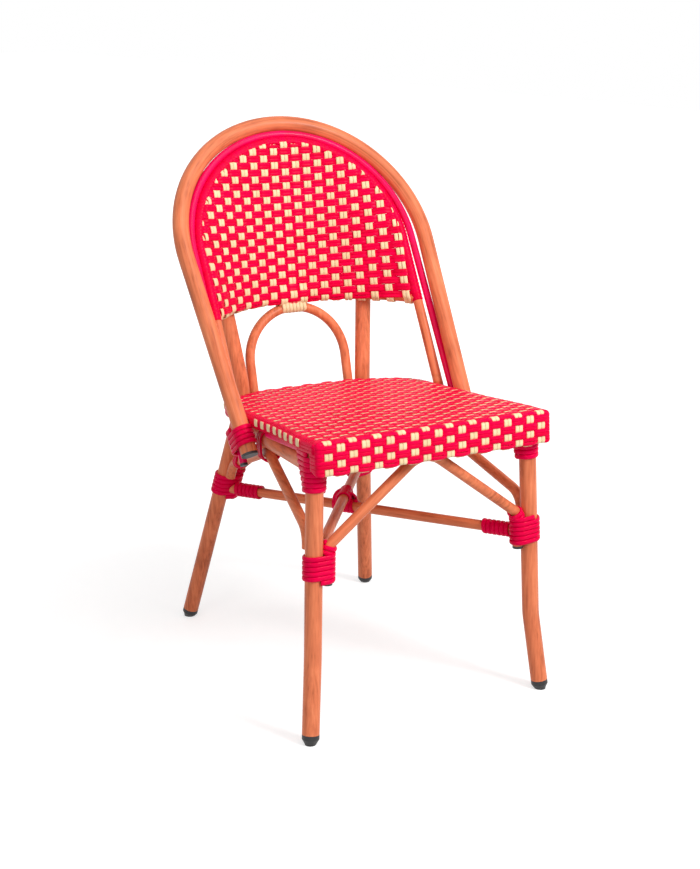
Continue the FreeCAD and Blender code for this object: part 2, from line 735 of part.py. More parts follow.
def side_brace():
    radii = [SIDE_STUB_RADIUS, BRACE_APEX_RADIUS, SIDE_STUB_RADIUS]
    return cope(bar(bent_edges(side_brace_points(), radii), THIN_D), grown(side_rail_edges(), MAIN_D))


# Stretchers: two straight tubes that cross under the seat, one above the other
def joint_binding_shape(joint):
    """Binding round a leg and the brace end beside it."""
    point, up, inward = joint
    reach = STUB_OFFSET + (THIN_D - MAIN_D) / 2
    return point, up, inward, MAIN_D / 2, reach, JOINT_TURNS


def stretcher_ends(lift):
    """Axis from the right front leg to the left rear leg, raised by lift."""
    front = on_line(FRONT_TOP, FRONT_KICK, FRONT_JOINT_Z)
    rear = flipped(on_line(KNEE, REAR_FOOT, REAR_JOINT_Z))
    return front + vec(0, 0, lift), rear + vec(0, 0, lift)


def stretcher(lift):
    front, rear = stretcher_ends(lift)
    front_space = binding_envelope(*joint_binding_shape(FRONT_JOINT))
    rear_space = binding_envelope(*joint_binding_shape(REAR_JOINT))
    return cope(bar([line(front, rear)], THIN_D), front_space, mirrored(rear_space))


STRETCHER_LIFT = (THIN_D + CLEAR) / 2


# Bindings
def tube_binding(name, centre, axis, tube_d, turns):
    across = square_to(axis, vec(1, 0, 0))
    return binding(name, binding_edges(centre, axis, across, tube_d / 2, 0, turns))


def leg_top_binding():
    half = (LEG_TOP_TURNS * CANE_PITCH + CANE_D) / 2
    height = RAIL_FRONT.z - MAIN_D / 2 - half - BINDING_STANDOFF / 2
    point, up, _ = joint_frame(FRONT_TOP, FRONT_KICK, height)
    return tube_binding("leg top binding", point, up, MAIN_D, LEG_TOP_TURNS)


def stretcher_bindings():
    """Bindings at both ends of each stretcher, and one round the crossing."""
    half = (STRETCHER_TURNS * CANE_PITCH + CANE_D) / 2
    joint_side = MAIN_D / 2 + 2 * CLEAR + CANE_D
    own_side = THIN_D / 2 + CLEAR + CANE_D
    bindings = []
    for lift in (-STRETCHER_LIFT, STRETCHER_LIFT):
        front, rear = stretcher_ends(lift)
        axis = unit(rear - front)
        out = (joint_side + own_side * abs(axis.x)) / abs(axis.y) + BINDING_STANDOFF + half
        for centre in (front + axis * out, rear - axis * out):
            cane = tube_binding("stretcher binding", centre, axis, THIN_D, STRETCHER_TURNS)
            bindings.append(mirrored(cane) if lift > 0 else cane)
    front, rear = stretcher_ends(0)
    crossing = front + (rear - front) * (front.x / (front.x - rear.x))
    spread = CROSSING_TURNS * CANE_PITCH / 2 * abs((rear.x - front.x) / (rear.y - front.y))
    room = math.hypot(spread, STRETCHER_LIFT) + THIN_D / 2
    bindings.append(tube_binding("crossing binding", crossing, vec(0, 1, 0), 2 * room, CROSSING_TURNS))
    return Part.makeCompound(bindings)


def hoop_binding():
    """Binding round a leg of the outer hoop and the trim tube behind it."""
    centre = HOOP.leg_at(SEAT_HEIGHT - HOOP_BINDING_DROP)
    axis = HOOP.leg_dir * -1
    ahead = centre - TRIM.end
    trim = TRIM.end + TRIM.leg_dir * (ahead.dot(axis) / TRIM.leg_dir.dot(axis))
    across = unit(trim - centre)
    reach = (trim - centre).Length + (TRIM_D - MAIN_D) / 2 + BINDING_SLACK
    edges = binding_edges(centre, axis, across, MAIN_D / 2, reach, HOOP_TURNS)
    return binding("hoop binding", edges)


def rail_binding():
    """Binding that holds the top of a side brace up against its rail."""
    axis = unit(RAIL_BEND - RAIL_FRONT)
    down = square_to(axis, vec(0, 0, -1))
    reach = THIN_D + 2 * CLEAR + BINDING_SLACK
    edges = binding_edges(rail_over_brace(), axis, down, MAIN_D / 2, reach, RAIL_TURNS)
    return binding("rail binding", edges)


def brace_binding():
    """Binding near the rear end of a side brace."""
    _, _, apex, rear, _ = side_brace_points()
    axis = unit(rear - apex)
    half = (BRACE_TURNS * CANE_PITCH + CANE_D) / 2
    centre = rear - axis * (half + SIDE_STUB_RADIUS + BINDING_STANDOFF)
    return tube_binding("brace binding", centre, axis, THIN_D, BRACE_TURNS)


def joint_binding(name, joint):
    return binding(name, binding_edges(*joint_binding_shape(joint)))


def arch_binding():
    return binding("arch binding", binding_edges(*arch_binding_shape()))


# Caps
def hoop_end_caps():
    return Part.makeCompound([plug(MAIN_D, *end) for end in HOOP.leg_ends()])


def trim_end_caps():
    return Part.makeCompound([plug(TRIM_D, *end) for end in TRIM.leg_ends()])


def brace_end_caps():
    ends = brace_stub_ends(FRONT_JOINT, FRONT_RAIL_END) + brace_stub_ends(REAR_JOINT, REAR_RAIL_END)
    return Part.makeCompound([plug(THIN_D, *end) for end in ends])


def build():
    """Every node of the chair by name."""
    sides = {
        "front_leg": front_leg(),
        "rear_leg": rear_leg(),
        "side_rail": side_rail(),
        "side_brace": side_brace(),
        "seat_trim": seat_trim(),
    }
    nodes = {}
    for name, right in sides.items():
        nodes[name + "_left"] = mirrored(right)
        nodes[name + "_right"] = right
    nodes["front_rail"] = front_rail()
    nodes["rear_rail"] = rear_rail()
    nodes["outer_hoop"] = outer_hoop()
    nodes["trim_hoop"] = trim_hoop()
    nodes["panel_hoop"] = panel_hoop()
    nodes["panel_crossbar"] = panel_crossbar()
    nodes["back_arch"] = back_arch()
    nodes["front_brace"] = cross_brace(FRONT_JOINT, FRONT_RAIL_END)
    nodes["rear_brace"] = cross_brace(REAR_JOINT, REAR_RAIL_END)
    nodes["stretcher_lower"] = stretcher(-STRETCHER_LIFT)
    nodes["stretcher_upper"] = mirrored(stretcher(STRETCHER_LIFT))
    nodes["seat_weave"] = seat_weave()
    nodes["back_weave"] = back_weave()
    nodes["foot_glides"] = foot_glides()
    nodes["hoop_end_caps"] = hoop_end_caps()
    nodes["trim_end_caps"] = trim_end_caps()
    nodes["brace_end_caps"] = brace_end_caps()
    nodes["front_joint_bindings"] = pair(joint_binding("front joint binding", FRONT_JOINT))
    nodes["rear_joint_bindings"] = pair(joint_binding("rear joint binding", REAR_JOINT))
    nodes["leg_top_bindings"] = pair(leg_top_binding())
    nodes["stretcher_bindings"] = stretcher_bindings()
    nodes["hoop_bindings"] = pair(hoop_binding())
    nodes["rail_bindings"] = pair(rail_binding())
    nodes["brace_bindings"] = pair(brace_binding())
    nodes["arch_binding"] = arch_binding()
    return nodes


def main():
    os.makedirs("parts", exist_ok=True)
    nodes = build()
    box = Part.makeCompound(list(nodes.values())).optimalBoundingBox(False, False)
    centring = vec(0, -(box.YMin + box.YMax) / 2, 0)
    for name, shape in nodes.items():
        placed = shape.translated(centring)
        placed.exportStep("parts/" + name + ".step")
    print(len(nodes), "nodes, box", round(box.XLength, 1), round(box.YLength, 1), round(box.ZLength, 1))
    print("moved along Y by", round(centring.y, 3))


main()
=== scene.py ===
"""Looks of the bistro side chair: woven cane, bindings, painted tube, light and camera."""
import math
import random

import bpy
import numpy as np
from mathutils import Matrix, Vector


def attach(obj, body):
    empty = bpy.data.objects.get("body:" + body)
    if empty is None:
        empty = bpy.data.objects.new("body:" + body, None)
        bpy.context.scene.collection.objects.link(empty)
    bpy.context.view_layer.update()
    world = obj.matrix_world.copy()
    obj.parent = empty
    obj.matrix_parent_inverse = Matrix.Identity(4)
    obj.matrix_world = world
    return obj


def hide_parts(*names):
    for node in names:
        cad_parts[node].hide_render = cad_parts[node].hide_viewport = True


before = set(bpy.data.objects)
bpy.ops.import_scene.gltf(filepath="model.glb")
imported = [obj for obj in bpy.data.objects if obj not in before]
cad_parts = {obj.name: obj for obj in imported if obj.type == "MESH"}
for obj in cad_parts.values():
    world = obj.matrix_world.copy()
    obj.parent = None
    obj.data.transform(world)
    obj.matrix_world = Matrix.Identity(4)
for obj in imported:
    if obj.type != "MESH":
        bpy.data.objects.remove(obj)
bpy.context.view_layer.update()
random.seed(7)

# Sizes are in millimetres, in the part's own frame, and become metres when a mesh is made
MM = 0.001
SIDE = np.array([1.0, 0.0, 0.0])

# Tubes of the frame
MAIN_R = 13.0
THIN_R = 8.0
HOOP_CENTRE = (0.0, 138.5, 664.6)
HOOP_UP = (0.0, 0.5577, 0.83)
STRETCHER_LOWER_RUN = (-0.5836, 0.8120, 0.0)
STRETCHER_UPPER_RUN = (0.5836, 0.8120, 0.0)
BRACE_RUN = (0.79, 0, 0.61)

# Seat, in its own plane: t runs back from the front edge and n stands up from the top
SEAT_ORIGIN = np.array([0.0, -275.886, 458.0])
SEAT_PITCH = math.radians(4.5)
SEAT_HALF_WIDTH = 190.0
SEAT_TAPER = math.tan(math.radians(1.2))
SEAT_FLARE = 6.5  # added to the half width at the front
FLARE_END = 170.0
FLARE_RUN = 110.0
SEAT_DEPTH = 435.0
SEAT_THICKNESS = 18.0
REAR_RADIUS = 340.0
REAR_T = SEAT_DEPTH - REAR_RADIUS  # centre of the rear edge's arc
REAR_CORNER = 85.0  # radius of the rear corners, whose centres are at CORNER_X and CORNER_T
CORNER_T = 330.4
CORNER_X = SEAT_HALF_WIDTH - CORNER_T * SEAT_TAPER - REAR_CORNER
REAR_MEET_T = 408.9  # where a corner's arc meets the rear edge's
REAR_MEET_X = 130.7
APRON_HEIGHT = 54.0
APRON_THICKNESS = 18.0
FRONT_CORNER = 10.0

# Strands: each is given by half its width and half its thickness, and lies in a pair
STRAND_SIDES = 8
STRAND_STEP = 1.9  # spacing of a strand's sections
STRAND_RISE = 1.3  # lift over a crossing
WAVE_EDGE = 2.4  # how sharply a strand goes from over to under
GRAIN_SPAN = 900.0  # range of the random start of a strand's grain
WARPS = 19
MIDDLE_WARP = (WARPS - 1) / 2
WARP_HALF = (3.1, 1.0)
WARP_GAP = 0.1  # half the gap in a pair of warps
WEFT_HALF = (2.9, 1.1)
WEFT_LAP = 0.02  # half the overlap in a pair of wefts

# Weave of the seat: rows are counted along the skin from its start under the apron
WEAVE_INSET = 2.4  # depth of the skin under the CAD surface
ROLL = 6.0  # radius of the skin's turns over the edges
ROLL_STEPS = 7
SKIN_END = 3.0  # the skin's rear end, above the seat's underside
FIRST_ROW = 20.0
SEAT_ROW = 11.0
LAST_ROW_ROOM = 15.0
SEAT_WARP_PITCH = 19.65
SEAT_WEFT_PROUD = 0.5  # wefts are raised and warps are lowered by this
SEAT_WEFT_STEP = 2.3
WARP_FADE = 16.0  # length in which the wave fades out at a strand's end
WEFT_FADE = 8.0
SEAT_TUCK = 9.0  # tail of a weft, down from the edge
APRON_TUCK = 16.0
TUCK_STEPS = 5
EDGE_TURN = np.radians(np.linspace(15, 90, 6))

# Rim of the seat, bars on its sides and cores inside
OUTLINE_STEP = 6.0
FINE_FROM = 405.0
FINE_STEPS = 26
RIM_ROWS = ((-6.4, 0.5, 1.6), (-11.6, 0.0, 0.9), (-16.8, -0.2, 0.9))  # level, tilt and inset
RIM_HALF = (2.75, 1.2)
BARS = 8
BAR_FIRST = 59.0
BAR_PITCH = 23.4
BAR_APART = 2.5
BAR_TOP, BAR_BOTTOM = -3.5, -14.5
BAR_STEPS = 7
BAR_STAND, BAR_BULGE = 0.7, 0.5
BAR_HALF = (2.4, 0.9)
CORE_INSET = 5.0
CORE_CLEAR = 0.5
APRON_CORE_HALF = 184.0
APRON_CORE_FRONT = 5.2
APRON_CORE_TOP = -8.0

# Back panel: its hoop and its crossbar
PANEL_RADIUS = 182.2
PANEL_CENTRE = np.array([0.0, 152.4, 656.1])
PANEL_UP = np.array([0.0, 0.4848, 0.8746])
PANEL_FRONT = np.cross(SIDE, PANEL_UP)
PANEL_LEG = 243.4
CROSSBAR_Z = 562.0
CROSSBAR_RADIUS = 207.1
CROSSBAR_CENTRE_Y = 1.7

# Weave of the back panel
BACK_AHEAD = 9.4  # the skin's place ahead of the frame's centre lines
TUCK = 7.0  # how far the skin dives near the hoop
TUCK_FROM = 5.5
TUCK_RUN = 4.5
ARCH_BULGE = 3.2  # swelling over the arch's binding
BULGE_HALF = 36.0
BULGE_HEIGHT = 22.0
BULGE_FADE = 14.0
BACK_ROW = 10.9
FIRST_BACK_ROW = -4.5
ROW_LIFT = 12.0  # rise of a row towards the sides
WARP_PITCH = 19.4
WARP_ROUND_BAR = 3.6  # how far the warps go on round the crossbar, in skin distances
WARP_CALM_FROM = 14.0
WARP_CALM_RUN = 10.0
BACK_EDGE_ROOM = 2.0
BACK_TOP_ROOM = 3.0
BACK_WEFT_SHIFT = 0.245  # place and half width of a weft's strands, as shares of the row
BACK_WEFT_HALF = 0.262
SHORTEST_WEFT = 4  # sections; a shorter weft is left out

# Sleeve on the panel's hoop, and the ends of the hoop's legs
WRAP_STEP = 1.0
WRAP_SIDES = 20
WRAP_PITCH = 5.6
WRAP_BELOW = 4.0
WRAP_SLACK = 0.2
WRAP_SWELL = 0.8
FOOT_LENGTH = 18.0
FOOT_SIDES = 24

# Bindings
CANE_HALF = (3.6, 1.9)
CANE_PITCH = 7.4
CANE_SQUARENESS = 0.8
BIND_SLACK = 0.2
BOW_STEPS = 20
LEVEL_FROM = 6.0  # a longer reach gets sections between its two bows
LEVEL_STEP = 3.0

# Right-hand joints: a place on the leg, the leg's direction up and the way inward
FRONT_JOINT = ((184.2, -242.6, 264.0), (-0.036, 0.036, 0.9987), (-0.9994, -0.0013, -0.0359))
REAR_JOINT = ((134.7, 200.9, 258.0), (-0.153, -0.2528, 0.9554), (-0.9882, 0.0391, -0.148))
JOINT_REACH = 16.3

# Right-hand braces: the bend at the leg and the top
FRONT_BEND, FRONT_APEX = (161.9, -241.7, 290.9), (0.0, -237.5, 413.8)
REAR_BEND, REAR_APEX = (109.4, 194.7, 281.4), (0.0, 160.1, 372.2)
SIDE_BEND, SIDE_APEX = (128.1, 168.0, 298.9), (153.1, -26.1, 375.1)
ARM_DROP = 5.0  # a brace's wrap at the joint, down the leg from the bend
SIDE_WRAP_OUT = 44.0  # a side brace's wrap, up the brace from the bend

# Other right-hand bindings, and those in the middle
LEG_TOP = (178.9, -237.4, 403.0)
LEG_TOP_REACH = 24.0
RAIL_RUN = (-0.1160, 0.9902, -0.0778)
RAIL_OVER = (153.1, -26.1, 394.3)
RAIL_REACH = 18.1
STRETCHER_LIFT = 8.15
STRETCHER_OUT = 51.0
CROSSING = (0.0, 13.5, 260.5)
CROSSING_INSIDE = 13.4
HOOP_BINDING = ((196.9, -38.7, 401.0), (0.0605, 0.5567, 0.8285), (-0.0167, 0.8305, -0.5568))
HOOP_BINDING_RISE = 7.0
HOOP_REACH = 21.4
ARCH_TOP = (0.0, 204.6, 546.3)
ARCH_UP = (0.0, 0.2585, 0.9660)
ARCH_REACH = 16.3

# Grain of the painted tubes: how far it is stretched along a straight tube and along a hoop
TUBE_STRETCH = 0.94
HOOP_RUN = 0.06

# The camera that was fitted to the photograph, in metres, with its lens in millimetres
CAMERA_AT = (-1.0805, -2.0528, 1.0384)
CAMERA_BACK = (-0.4485, -0.8504, 0.2750)
CAMERA_RIGHT = (0.8845, -0.4665, 0.0)
CAMERA_LENS = 77.82
CAMERA_SENSOR = 36.0


def unit(v):
    """Vectors scaled to length one."""
    v = np.asarray(v, dtype=float)
    return v / np.linalg.norm(v, axis=-1, keepdims=True)


def smooth(k):
    """A soft step from 0 to 1."""
    k = np.clip(k, 0.0, 1.0)
    return k * k * (3 - 2 * k)


def over_under(phase):
    """A soft square wave: +1 over the middle of even crossings, -1 over odd ones."""
    return np.tanh(WAVE_EDGE * np.cos(np.pi * phase)) / math.tanh(WAVE_EDGE)


def tube_faces(rings, sides, first=0):
    """Quads between rings of points, and a cap at each end."""
    k = np.arange(sides)
    after = (k + 1) % sides
    low = first + np.arange(rings - 1)[:, None] * sides
    quads = np.stack([low + k, low + after, low + sides + after, low + sides + k], axis=-1)
    caps = [(first + k[::-1]).tolist(), (first + (rings - 1) * sides + k).tolist()]
    return quads.reshape(-1, 4).tolist() + caps


class Strands:
    """Flat oval strands gathered into one mesh."""

    def __init__(self, squareness=0.55):
        angles = 2 * np.pi * (np.arange(STRAND_SIDES) + 0.5) / STRAND_SIDES
        self.across = np.sign(np.cos(angles)) * np.abs(np.cos(angles)) ** squareness
        self.through = np.sign(np.sin(angles)) * np.abs(np.sin(angles)) ** squareness
        self.verts, self.faces, self.uvs, self.vary = [], [], [], []
        self.count = 0

    def add(self, path, out, half):
        """A strand along a path, with the way out from the surface at each place."""
        path, out = np.asarray(path, dtype=float), np.asarray(out, dtype=float)
        wide = np.broadcast_to(half[0], len(path))[:, None]
        along = unit(np.gradient(path, axis=0))
        side = unit(np.cross(along, out))
        out = np.cross(side, along)
        ring = (path[:, None, :] + (wide * self.across)[:, :, None] * side[:, None, :]
                + half[1] * self.through[None, :, None] * out[:, None, :])
        n = len(path)
        self.verts.append(ring.reshape(-1, 3))
        length = np.concatenate([[0.0], np.cumsum(np.linalg.norm(np.diff(path, axis=0), axis=1))])
        start = random.random() * GRAIN_SPAN
        uv = np.empty((n, STRAND_SIDES, 2))
        uv[:, :, 0] = self.across * wide * MM
        uv[:, :, 1] = (length[:, None] + start) * MM
        self.uvs.append(uv.reshape(-1, 2))
        self.vary.append(np.full(n * STRAND_SIDES, random.random()))
        self.faces.extend(tube_faces(n, STRAND_SIDES, self.count))
        self.count += n * STRAND_SIDES

    def build(self, name, material, slot, *nodes):
        make_piece(name, np.concatenate(self.verts), self.faces, material, nodes,
                   np.concatenate(self.uvs), np.concatenate(self.vary))


def show(name, data):
    """A new object with this data, in the scene."""
    thing = bpy.data.objects.new(name, data)
    bpy.context.scene.collection.objects.link(thing)
    return thing


def make_piece(name, verts, faces, material, nodes=(), uv=None, vary=None):
    """A piece from points in millimetres, which rides on the root and may replace CAD nodes."""
    mesh = bpy.data.meshes.new(name)
    mesh.from_pydata((np.asarray(verts) * MM).tolist(), [], faces)
    if uv is not None:
        corner = np.empty(len(mesh.loops), dtype=np.int32)
        mesh.loops.foreach_get("vertex_index", corner)
        layer = mesh.uv_layers.new(name="strand")
        layer.data.foreach_set("uv", uv[corner].astype(np.float32).ravel())
    if vary is not None:
        tones = mesh.attributes.new("vary", "FLOAT", "POINT")
        tones.data.foreach_set("value", vary.astype(np.float32))
    mesh.polygons.foreach_set("use_smooth", np.ones(len(mesh.polygons), dtype=bool))
    mesh.materials.append(material)
    piece = show(name, mesh)
    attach(piece, "root")
    if nodes:
        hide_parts(*nodes)
    return piece


class Nodes:
    """A short way to write the node tree of a material or of the world."""

    def __init__(self, name="", world=None):
        self.material = world or bpy.data.materials.new(name)
        self.material.use_nodes = True
        self.tree = self.material.node_tree
        self.shader = self.tree.nodes["Background" if world else "Principled BSDF"]

    def add(self, kind, inputs=(), **settings):
        node = self.tree.nodes.new(kind)
        for key, value in settings.items():
            setattr(node, key, value)
        for key, value in dict(inputs).items():
            self.put(node.inputs[key], value)
        return node

    def put(self, socket, value):
        if isinstance(value, bpy.types.NodeSocket):
            self.tree.links.new(value, socket)
        else:
            socket.default_value = value

    def place(self):
        return self.add("ShaderNodeTexCoord").outputs["Object"]

    def math(self, operation, a, b=0.0):
        return self.add("ShaderNodeMath", {0: a, 1: b}, operation=operation).outputs[0]

    def vector(self, operation, a, b=(0, 0, 0), out=0, scale=None):
        inputs = {0: a, 1: b}
        if scale is not None:
            inputs = {0: a, "Scale": scale}
        return self.add("ShaderNodeVectorMath", inputs, operation=operation).outputs[out]

    def noise(self, where, scale, detail=3.0, rough=0.55):
        inputs = {"Vector": where, "Scale": scale, "Detail": detail, "Roughness": rough}
        return self.add("ShaderNodeTexNoise", inputs).outputs["Fac"]

    def ramp(self, fac, *stops):
        node = self.add("ShaderNodeValToRGB", {"Fac": fac})
        band = node.color_ramp
        while len(band.elements) < len(stops):
            band.elements.new(0.5)
        for element, (at, colour) in zip(band.elements, stops):
            element.position = at
            element.color = (*colour, 1.0)
        return node.outputs["Color"]

    def spread(self, fac, low, high):
        inputs = {"Value": fac, "To Min": low, "To Max": high}
        return self.add("ShaderNodeMapRange", inputs).outputs["Result"]

    def bump(self, height, strength, distance):
        inputs = {"Height": height, "Strength": strength, "Distance": distance}
        return self.add("ShaderNodeBump", inputs).outputs["Normal"]

    def seen(self):
        """1 for rays that show a thing to the camera, straight or by reflection, and 0 for light."""
        path = self.add("ShaderNodeLightPath").outputs
        mirrored = self.math("MAXIMUM", path["Is Glossy Ray"], path["Is Transmission Ray"])
        return self.math("MAXIMUM", path["Is Camera Ray"], mirrored)

    def shade(self, **values):
        for key, value in values.items():
            self.put(self.shader.inputs[key.replace("_", " ")], value)
        return self.material


def along_tube(nodes, axis):
    """Coordinates squeezed along a tube's axis, so that noise runs in streaks."""
    where = nodes.place()
    run = nodes.vector("DOT_PRODUCT", where, axis, out=1)
    back = nodes.vector("SCALE", axis, scale=nodes.math("MULTIPLY", run, TUBE_STRETCH))
    return nodes.vector("SUBTRACT", where, back)


def along_hoop(nodes, centre, up):
    """Coordinates that follow a hoop: radius, depth and a slow run along it."""
    centre, up = Vector(centre) * MM, Vector(up)
    where = nodes.vector("SUBTRACT", nodes.place(), tuple(centre))
    rise = nodes.vector("DOT_PRODUCT", where, tuple(up), out=1)
    depth = nodes.vector("DOT_PRODUCT", where, tuple(up.cross(Vector((1, 0, 0)))), out=1)
    x = nodes.vector("DOT_PRODUCT", where, (1, 0, 0), out=1)
    high = nodes.math("MAXIMUM", rise, 0.0)
    squares = nodes.math("ADD", nodes.math("MULTIPLY", x, x), nodes.math("MULTIPLY", high, high))
    radius = nodes.math("SQRT", squares)
    run = nodes.math("MULTIPLY", nodes.math("ADD", rise, x), HOOP_RUN)
    return nodes.add("ShaderNodeCombineXYZ", {"X": radius, "Y": depth, "Z": run}).outputs[0]


def bamboo(name, coords):
    """Orange tan paint with lengthwise streaks, faint smudges and a satin lacquer."""
    nodes = Nodes(name)
    where = coords(nodes)
    streak = nodes.noise(where, scale=210.0, detail=5.0, rough=0.6)
    smudge = nodes.noise(nodes.place(), scale=14.0)
    mixed = nodes.math("ADD", nodes.math("MULTIPLY", streak, 0.62), nodes.math("MULTIPLY", smudge, 0.38))
    colour = nodes.ramp(mixed, (0.36, (0.50, 0.116, 0.046)), (0.46, (0.71, 0.182, 0.075)),
                        (0.56, (0.83, 0.226, 0.096)), (0.68, (0.92, 0.300, 0.135)))
    return nodes.shade(Base_Color=colour, Roughness=nodes.spread(streak, 0.34, 0.5), Coat_Weight=0.06,
                       Coat_Roughness=0.2, Specular_IOR_Level=0.22,
                       Normal=nodes.bump(streak, strength=0.12, distance=0.0004))


def trim_paint():
    """Gloss magenta red paint with a slight orange peel."""
    nodes = Nodes("trim_paint")
    where = nodes.place()
    tone = nodes.noise(where, scale=30.0)
    peel = nodes.noise(where, scale=520.0, detail=2.0)
    colour = nodes.ramp(tone, (0.35, (0.76, 0.0, 0.078)), (0.65, (0.95, 0.0, 0.115)))
    return nodes.shade(Base_Color=colour, Roughness=nodes.spread(peel, 0.26, 0.36),
                       Specular_IOR_Level=0.15, Coat_Weight=0.04, Coat_Roughness=0.12,
                       Normal=nodes.bump(peel, strength=0.06, distance=0.0002))


def cane(name, dark, light, rough):
    """Moulded cane: grooves along the strand, and a tone that varies in it and between strands."""
    nodes = Nodes(name)
    uv = nodes.add("ShaderNodeUVMap", uv_map="strand").outputs[0]
    fibre = nodes.noise(nodes.vector("MULTIPLY", uv, (1900.0, 22.0, 1.0)), scale=1.0)
    patch = nodes.noise(nodes.place(), scale=26.0, detail=2.0)
    vary = nodes.add("ShaderNodeAttribute", attribute_name="vary").outputs["Fac"]
    wide = nodes.math("ADD", nodes.math("MULTIPLY", vary, 0.25), nodes.math("MULTIPLY", patch, 0.30))
    tone = nodes.math("ADD", nodes.math("MULTIPLY", fibre, 0.45), wide)
    colour = nodes.ramp(tone, (0.30, dark), (0.62, light))
    return nodes.shade(Base_Color=colour, Roughness=nodes.spread(fibre, rough - 0.06, rough + 0.08),
                       Specular_IOR_Level=0.05,
                       Normal=nodes.bump(fibre, strength=0.25, distance=0.0003))


def black_plastic():
    """Moulded black plastic with a fine grain and scuffs."""
    nodes = Nodes("black_plastic")
    where = nodes.place()
    grain = nodes.noise(where, scale=900.0)
    scuff = nodes.noise(where, scale=60.0, detail=4.0)
    colour = nodes.ramp(scuff, (0.4, (0.010, 0.010, 0.011)), (0.75, (0.032, 0.031, 0.031)))
    return nodes.shade(Base_Color=colour, Roughness=nodes.spread(scuff, 0.38, 0.6),
                       Normal=nodes.bump(grain, strength=0.25, distance=0.0002))


def underside():
    """The weave's back: red rows crossed by pale strands."""
    nodes = Nodes("weave_back")
    where = nodes.place()
    rows = nodes.add("ShaderNodeTexWave", {"Vector": where, "Scale": 57.0, "Distortion": 0.3},
                     bands_direction="Y")
    cells = nodes.vector("MULTIPLY", where, (103.1, 90.9, 0.0))
    checks = nodes.add("ShaderNodeTexChecker", {"Vector": cells, "Scale": 0.5,
                                                "Color1": (0.80, 0.0, 0.045, 1),
                                                "Color2": (0.90, 0.68, 0.39, 1)})
    grain = nodes.noise(nodes.vector("MULTIPLY", where, (60.0, 900.0, 60.0)), scale=1.0)
    height = nodes.math("ADD", rows.outputs["Fac"], nodes.math("MULTIPLY", grain, 0.3))
    return nodes.shade(Base_Color=checks.outputs["Color"], Roughness=nodes.spread(grain, 0.3, 0.5),
                       Normal=nodes.bump(height, strength=0.6, distance=0.0012))


RED = cane("red_cane", (0.74, 0.0, 0.036), (0.95, 0.0, 0.064), rough=0.27)
PALE = cane("pale_cane", (0.86, 0.64, 0.36), (0.97, 0.78, 0.47), rough=0.38)
BIND = cane("binding_cane", (0.74, 0.0, 0.048), (0.96, 0.0, 0.080), rough=0.2)
TRIM = trim_paint()
BLACK = black_plastic()
UNDER = underside()


def dress():
    """Materials for the CAD nodes that stay."""
    straight = {
        "legs": ((0, 0, 1), ["front_leg_left", "front_leg_right", "rear_leg_left", "rear_leg_right",
                             "back_arch"]),
        "across": ((1, 0, 0), ["front_rail", "rear_rail", "panel_crossbar"]),
        "rails": ((0, 1, 0), ["side_rail_left", "side_rail_right", "side_brace_left",
                              "side_brace_right"]),
        "cross_down": (STRETCHER_LOWER_RUN, ["stretcher_lower"]),
        "cross_up": (STRETCHER_UPPER_RUN, ["stretcher_upper"]),
        "braces": (BRACE_RUN, ["front_brace", "rear_brace"]),
    }
    groups = [(bamboo("bamboo_" + key, lambda n, a=axis: along_tube(n, a)), names)
              for key, (axis, names) in straight.items()]
    hoop = bamboo("bamboo_hoop", lambda n: along_hoop(n, HOOP_CENTRE, HOOP_UP))
    panel = bamboo("bamboo_panel", lambda n: along_hoop(n, PANEL_CENTRE, PANEL_UP))
    groups += [(hoop, ["outer_hoop"]), (panel, ["panel_hoop"]),
               (TRIM, ["trim_hoop", "seat_trim_left", "seat_trim_right"]),
               (BLACK, ["foot_glides", "hoop_end_caps", "trim_end_caps", "brace_end_caps"])]
    for material, names in groups:
        for name in names:
            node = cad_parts[name]
            node.data.materials.clear()
            node.data.materials.append(material)


# Seat: one woven skin that runs from under the apron, over the front edge and back to the rear edge

ALONG = np.array([0.0, math.cos(SEAT_PITCH), -math.sin(SEAT_PITCH)])
UP = np.array([0.0, math.sin(SEAT_PITCH), math.cos(SEAT_PITCH)])


def on_seat(x, t, n):
    """A place in the part's frame from one in the seat's."""
    x, t, n = (np.asarray(v, dtype=float)[..., None] for v in (x, t, n))
    return SEAT_ORIGIN + x * SIDE + t * ALONG + n * UP


def seat_half(t):
    """Half width of the seat's outline at a place along it."""
    t = np.asarray(t, dtype=float)
    side = SEAT_HALF_WIDTH - t * SEAT_TAPER + SEAT_FLARE * smooth((FLARE_END - t) / FLARE_RUN)
    corner = CORNER_X + np.sqrt(np.maximum(REAR_CORNER ** 2 - (t - CORNER_T) ** 2, 0))
    rear = np.sqrt(np.maximum(REAR_RADIUS ** 2 - (t - REAR_T) ** 2, 0))
    return np.where(t < CORNER_T, side, np.where(t < REAR_MEET_T, corner, rear))


def seat_pitch(t):
    """Spacing of the warps, which close up a little as the seat tapers."""
    return SEAT_WARP_PITCH * seat_half(np.clip(t, 0, CORNER_T - 1)) / seat_half(0)


def seat_rear(x):
    """Where the seat's rear edge lies behind a given x."""
    x = abs(x)
    if x < REAR_MEET_X:
        return REAR_T + math.sqrt(REAR_RADIUS ** 2 - x * x)
    return CORNER_T + math.sqrt(max(REAR_CORNER ** 2 - (x - CORNER_X) ** 2, 0))


def quarter(centre, start, end):
    """Points and normals of a turn over an edge, in the seat's (along, up) plane."""
    a = np.radians(np.linspace(start, end, ROLL_STEPS))
    normal = np.stack([np.cos(a), np.sin(a)], axis=1)
    return np.asarray(centre) + ROLL * normal, normal


